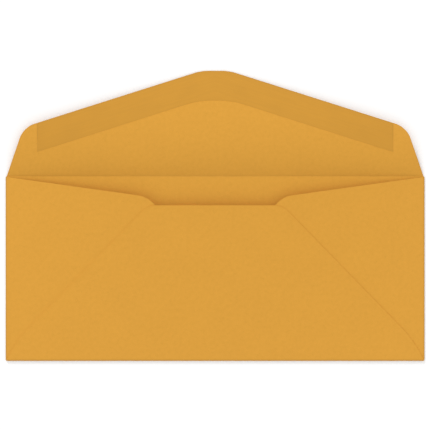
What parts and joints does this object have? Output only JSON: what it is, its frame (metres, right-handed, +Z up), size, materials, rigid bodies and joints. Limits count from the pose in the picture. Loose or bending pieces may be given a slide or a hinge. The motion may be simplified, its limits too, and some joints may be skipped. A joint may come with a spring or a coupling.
{
  "type": "paper envelope",
  "caption": "Long brown paper envelope with diagonal seams, lying face down with its gummed top flap open and its back bowed up at the throat.",
  "frame": {"origin": "middle of the part's outline, seen from above, on the surface that it lies on", "axes": "+X along the long side, +Y from the bottom fold towards the open flap's tip, +Z up from the outside of the front panel"},
  "size_m": [0.2412, 0.167, 0.0065],
  "materials": {
    "brown_paper": "matte",
    "dried_gum": "satin"
  },
  "bodies": {
    "root": {"envelope_sheet": "brown_paper", "flap_gum": "dried_gum"}
  },
  "joints": []
}
